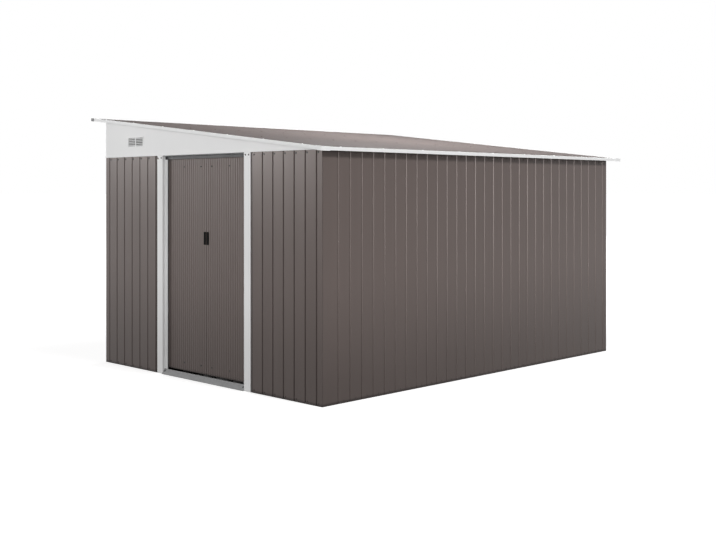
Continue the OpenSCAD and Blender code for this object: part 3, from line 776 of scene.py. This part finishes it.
class SHED_OT_roof_screws(bpy.types.Operator):
    """Screws the roof sheets to the beams and eaves, and the trim and caps to the sheets"""

    bl_idname = "shed.roof_screws"
    bl_label = "Roof Screws"

    def execute(self, context):
        sizes = context.scene.shed_screws
        low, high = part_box("roof_panels")
        length = (high.x - low.x) / math.cos(sizes.roof_angle)
        up = Vector((math.sin(sizes.roof_angle), 0.0, math.cos(sizes.roof_angle)))
        flat_count, every = 30, 2
        eave_inset, beam_rows = 0.13, (0.950, 1.808)
        pitch = (high.y - low.y) / flat_count
        flats = steps(low.y + pitch / 2, pitch, flat_count)
        sheet_spots = [(on_roof(sizes, down, y, 0.0), up)
                       for down in (eave_inset, *beam_rows, length - eave_inset)
                       for y in flats[::every]]
        trim_thickness, trim_inset = 0.0012, 0.015
        end_inset, along_slope = 0.2, 7
        slope_pitch = (length - 2 * end_inset) / (along_slope - 1)
        trim_front, trim_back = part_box("front_roof_trim")[0].y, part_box("back_roof_trim")[1].y
        trim_spots = [(on_roof(sizes, down, y, trim_thickness), up)
                      for down in steps(end_inset, slope_pitch, along_slope)
                      for y in (trim_front + trim_inset, trim_back - trim_inset)]
        low_inset, low_first, low_pitch, low_count = 0.014, -1.6, 0.4, 9
        trim_spots += [(on_roof(sizes, length - low_inset, y, trim_thickness), up)
                       for y in steps(low_first, low_pitch, low_count)]
        taupe = bpy.data.materials["taupe_roof"]
        white = bpy.data.materials["white_trim"]
        screw_in("roof_screws", "shell", sheet_spots, taupe, taupe)
        screw_in("trim_screws", "shell", trim_spots, white, white)
        return {"FINISHED"}


class SHED_OT_seams(bpy.types.Operator):
    """Seals the seams between the wall panels and between the roof panels"""

    bl_idname = "shed.seams"
    bl_label = "Seal Seams"

    def execute(self, context):
        sizes, seams = context.scene.shed_screws, context.scene.shed_seams
        end_gap = 0.003
        low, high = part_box("back_wall")
        y = high.y - seams.bead_depth
        walls = [(Vector((x, y, low.z)), Vector((x, y, high.z)))
                 for x in self.between_panels(low.x, high.x, sizes.back_first, seams)]
        front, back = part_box("front_wall_left")[0].y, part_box("back_wall")[1].y
        for node, way in (("left_wall", LEFT), ("right_wall", RIGHT)):
            low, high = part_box(node)
            x = low.x + seams.bead_depth if way is LEFT else high.x - seams.bead_depth
            walls += [(Vector((x, y, low.z)), Vector((x, y, high.z)))
                      for y in self.between_panels(front, back, sizes.side_first, seams)]
        seal("wall_seam_beads", "shell", walls, bpy.data.materials["taupe_walls"])
        low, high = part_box("roof_panels")
        width = (high.y - low.y) / seams.roof_panels
        length = (high.x - low.x) / math.cos(sizes.roof_angle)
        roof = [tuple(on_roof(sizes, down, y, -seams.bead_depth)
                      for down in (end_gap, length - end_gap))
                for y in steps(low.y + width, width, seams.roof_panels - 1)]
        seal("roof_seam_beads", "shell", roof, bpy.data.materials["taupe_roof"])
        return {"FINISHED"}

    @staticmethod
    def between_panels(start, end, first, seams):
        """Places of the seams along a wall: the grooves in which a panel ends"""
        return grooves_along(start, end, first)[seams.wall_grooves - 1::seams.wall_grooves]


class SHED_OT_stage(bpy.types.Operator):
    """Sets up the floor, the soft lights, the world and the camera"""

    bl_idname = "shed.stage"
    bl_label = "Studio"

    def execute(self, context):
        studio = context.scene.shed_studio
        context.scene.view_settings.view_transform = "Standard"
        self.floor(studio)
        self.world(context.scene, studio)
        self.soft_light(
            "key_light", place=(-17.9, -15.55, 4.75), size=2.5, power=studio.key_power)
        self.soft_light(
            "front_light", place=(12.55, -20.5, 1.8), size=6.0, power=studio.front_power,
            height=3.2)
        self.soft_light(
            "side_light", place=(21.75, 0.0, 11.15), size=4.0, power=studio.side_power)
        self.soft_light(
            "back_light", place=(-4.1, 23.1, 6.0), size=4.0, power=studio.back_power)
        self.soft_light(
            "roof_light", place=(0.0, 0.5, 3.6), size=1.5, power=studio.roof_power,
            target=(0.0, 0.5, 1.8))
        self.camera(context.scene, studio)
        return {"FINISHED"}

    @staticmethod
    def looked_at(sketch):
        """1 for rays that show the background itself: camera, glossy and transmission rays"""
        rays = sketch.node("ShaderNodeLightPath").outputs
        mirror = sketch.math("MAXIMUM", rays["Is Glossy Ray"], rays["Is Transmission Ray"])
        return sketch.math("MAXIMUM", rays["Is Camera Ray"], mirror)

    def floor(self, studio):
        """A wide floor that shows white but for the shed's shadow, and throws back little light"""
        dim, seen = 0.12, 0.80
        near, near_glow, far = 4.0, 0.75, 10.0
        reach = studio.floor_reach
        mesh = bpy.data.meshes.new("floor")
        mesh.from_pydata(
            [(-reach, -reach, 0), (reach, -reach, 0), (reach, reach, 0), (-reach, reach, 0)],
            [], [(0, 1, 2, 3)])
        floor = bpy.data.objects.new("floor", mesh)
        bpy.context.scene.collection.objects.link(floor)
        material, sketch, shader, place = start_material("pale_floor")
        grain = sketch.noise(place, scale=3.0, detail=2.0)
        looked_at = self.looked_at(sketch)
        tint(sketch, shader, (1.0, 1.0, 1.0), sketch.math(
            "MULTIPLY", sketch.spread(looked_at, dim, seen),
            sketch.spread(grain, low=0.99, high=1.01)))
        shader.inputs["Roughness"].default_value = 0.9
        shader.inputs["Specular IOR Level"].default_value = 0.0
        shader.inputs["Emission Color"].default_value = (1.0, 1.0, 1.0, 1.0)
        away = sketch.node("ShaderNodeVectorMath", {0: place}, operation="LENGTH").outputs["Value"]
        glow = sketch.math("MULTIPLY", sketch.spread(away, near_glow, 1.0, near, far),
                           self.outside(sketch, place))
        sketch.link(sketch.math("MULTIPLY", looked_at, glow), shader.inputs["Emission Strength"])
        mesh.materials.append(material)

    @staticmethod
    def outside(sketch, place):
        """1 where the floor lies outside the walls, and 0 in the shade inside them"""
        under_sheet = 0.004
        corner = sketch.node("ShaderNodeSeparateXYZ", {0: place}).outputs
        reach = {"X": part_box("right_wall")[1].x, "Y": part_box("back_wall")[1].y}
        beyond = [sketch.math("GREATER_THAN", sketch.math("ABSOLUTE", corner[axis]),
                              half - under_sheet) for axis, half in reach.items()]
        return sketch.math("MAXIMUM", *beyond)

    def world(self, scene, studio):
        """A white background that gives only a little even light"""
        world = bpy.data.worlds.new("studio_world")
        world.use_nodes = True
        scene.world = world
        sketch = NodeSketch(world.node_tree)
        background = world.node_tree.nodes["Background"]
        background.inputs["Color"].default_value = (1.0, 1.0, 1.0, 1.0)
        strength = sketch.spread(self.looked_at(sketch), studio.ambient, 1.0)
        sketch.link(strength, background.inputs["Strength"])

    @staticmethod
    def soft_light(name, place, size, power, height=None, target=(0.0, 0.0, 1.0)):
        """A round lamp that shines at a target, the shed's middle unless another is given, or an
        oval one where a height is given"""
        light = bpy.data.lights.new(name, "AREA")
        light.shape = "DISK"
        light.size = size
        light.energy = power
        if height is not None:
            light.shape = "ELLIPSE"
            light.size_y = height
        lamp = bpy.data.objects.new(name, light)
        lamp.location = place
        aim = Vector(target) - Vector(place)
        lamp.rotation_euler = aim.to_track_quat("-Z", "Y").to_euler()
        bpy.context.scene.collection.objects.link(lamp)

    @staticmethod
    def camera(scene, studio):
        """A level camera with a shifted lens"""
        optics = bpy.data.cameras.new("camera")
        optics.lens = studio.lens
        optics.sensor_width = 36.0
        optics.shift_y = studio.shift
        camera = bpy.data.objects.new("camera", optics)
        camera.location = studio.camera_place
        camera.rotation_euler = (math.pi / 2, 0.0, studio.camera_heading)
        scene.collection.objects.link(camera)
        scene.camera = camera


class VIEW3D_PT_shed(bpy.types.Panel):
    """Settings and steps that dress the shed"""

    bl_label = "Metal Shed"
    bl_space_type = "VIEW_3D"
    bl_region_type = "UI"
    bl_category = "Shed"

    def draw(self, context):
        for group in (getattr(context.scene, name) for name in GROUPS):
            for name in group.bl_rna.properties.keys():
                if name not in ("rna_type", "name"):
                    self.layout.prop(group, name)
        for step in STEPS:
            self.layout.operator(step.bl_idname)


STEPS = (SHED_OT_stage, SHED_OT_sheets, SHED_OT_trim, SHED_OT_frame, SHED_OT_plastics,
         SHED_OT_wall_screws, SHED_OT_door_screws, SHED_OT_doorway_screws, SHED_OT_roof_screws,
         SHED_OT_seams)
GROUPS = {"shed_paint": ShedPaint, "shed_screws": ShedScrews, "shed_seams": ShedSeams,
          "shed_studio": ShedStudio}


def register():
    """Makes the settings, steps and panel known to Blender"""
    for group in GROUPS.values():
        bpy.utils.register_class(group)
    for name, group in GROUPS.items():
        setattr(bpy.types.Scene, name, PointerProperty(type=group))
    for step in STEPS:
        bpy.utils.register_class(step)
    bpy.utils.register_class(VIEW3D_PT_shed)


def unregister():
    """Takes them out again"""
    bpy.utils.unregister_class(VIEW3D_PT_shed)
    for step in reversed(STEPS):
        bpy.utils.unregister_class(step)
    for name, group in GROUPS.items():
        delattr(bpy.types.Scene, name)
        bpy.utils.unregister_class(group)


def main():
    """Dresses the shed step by step"""
    register()
    bpy.ops.shed.stage()
    bpy.ops.shed.sheets()
    bpy.ops.shed.trim()
    bpy.ops.shed.frame()
    bpy.ops.shed.plastics()
    bpy.ops.shed.wall_screws()
    bpy.ops.shed.door_screws()
    bpy.ops.shed.doorway_screws()
    bpy.ops.shed.roof_screws()
    bpy.ops.shed.seams()


if __name__ == "__main__":
    main()
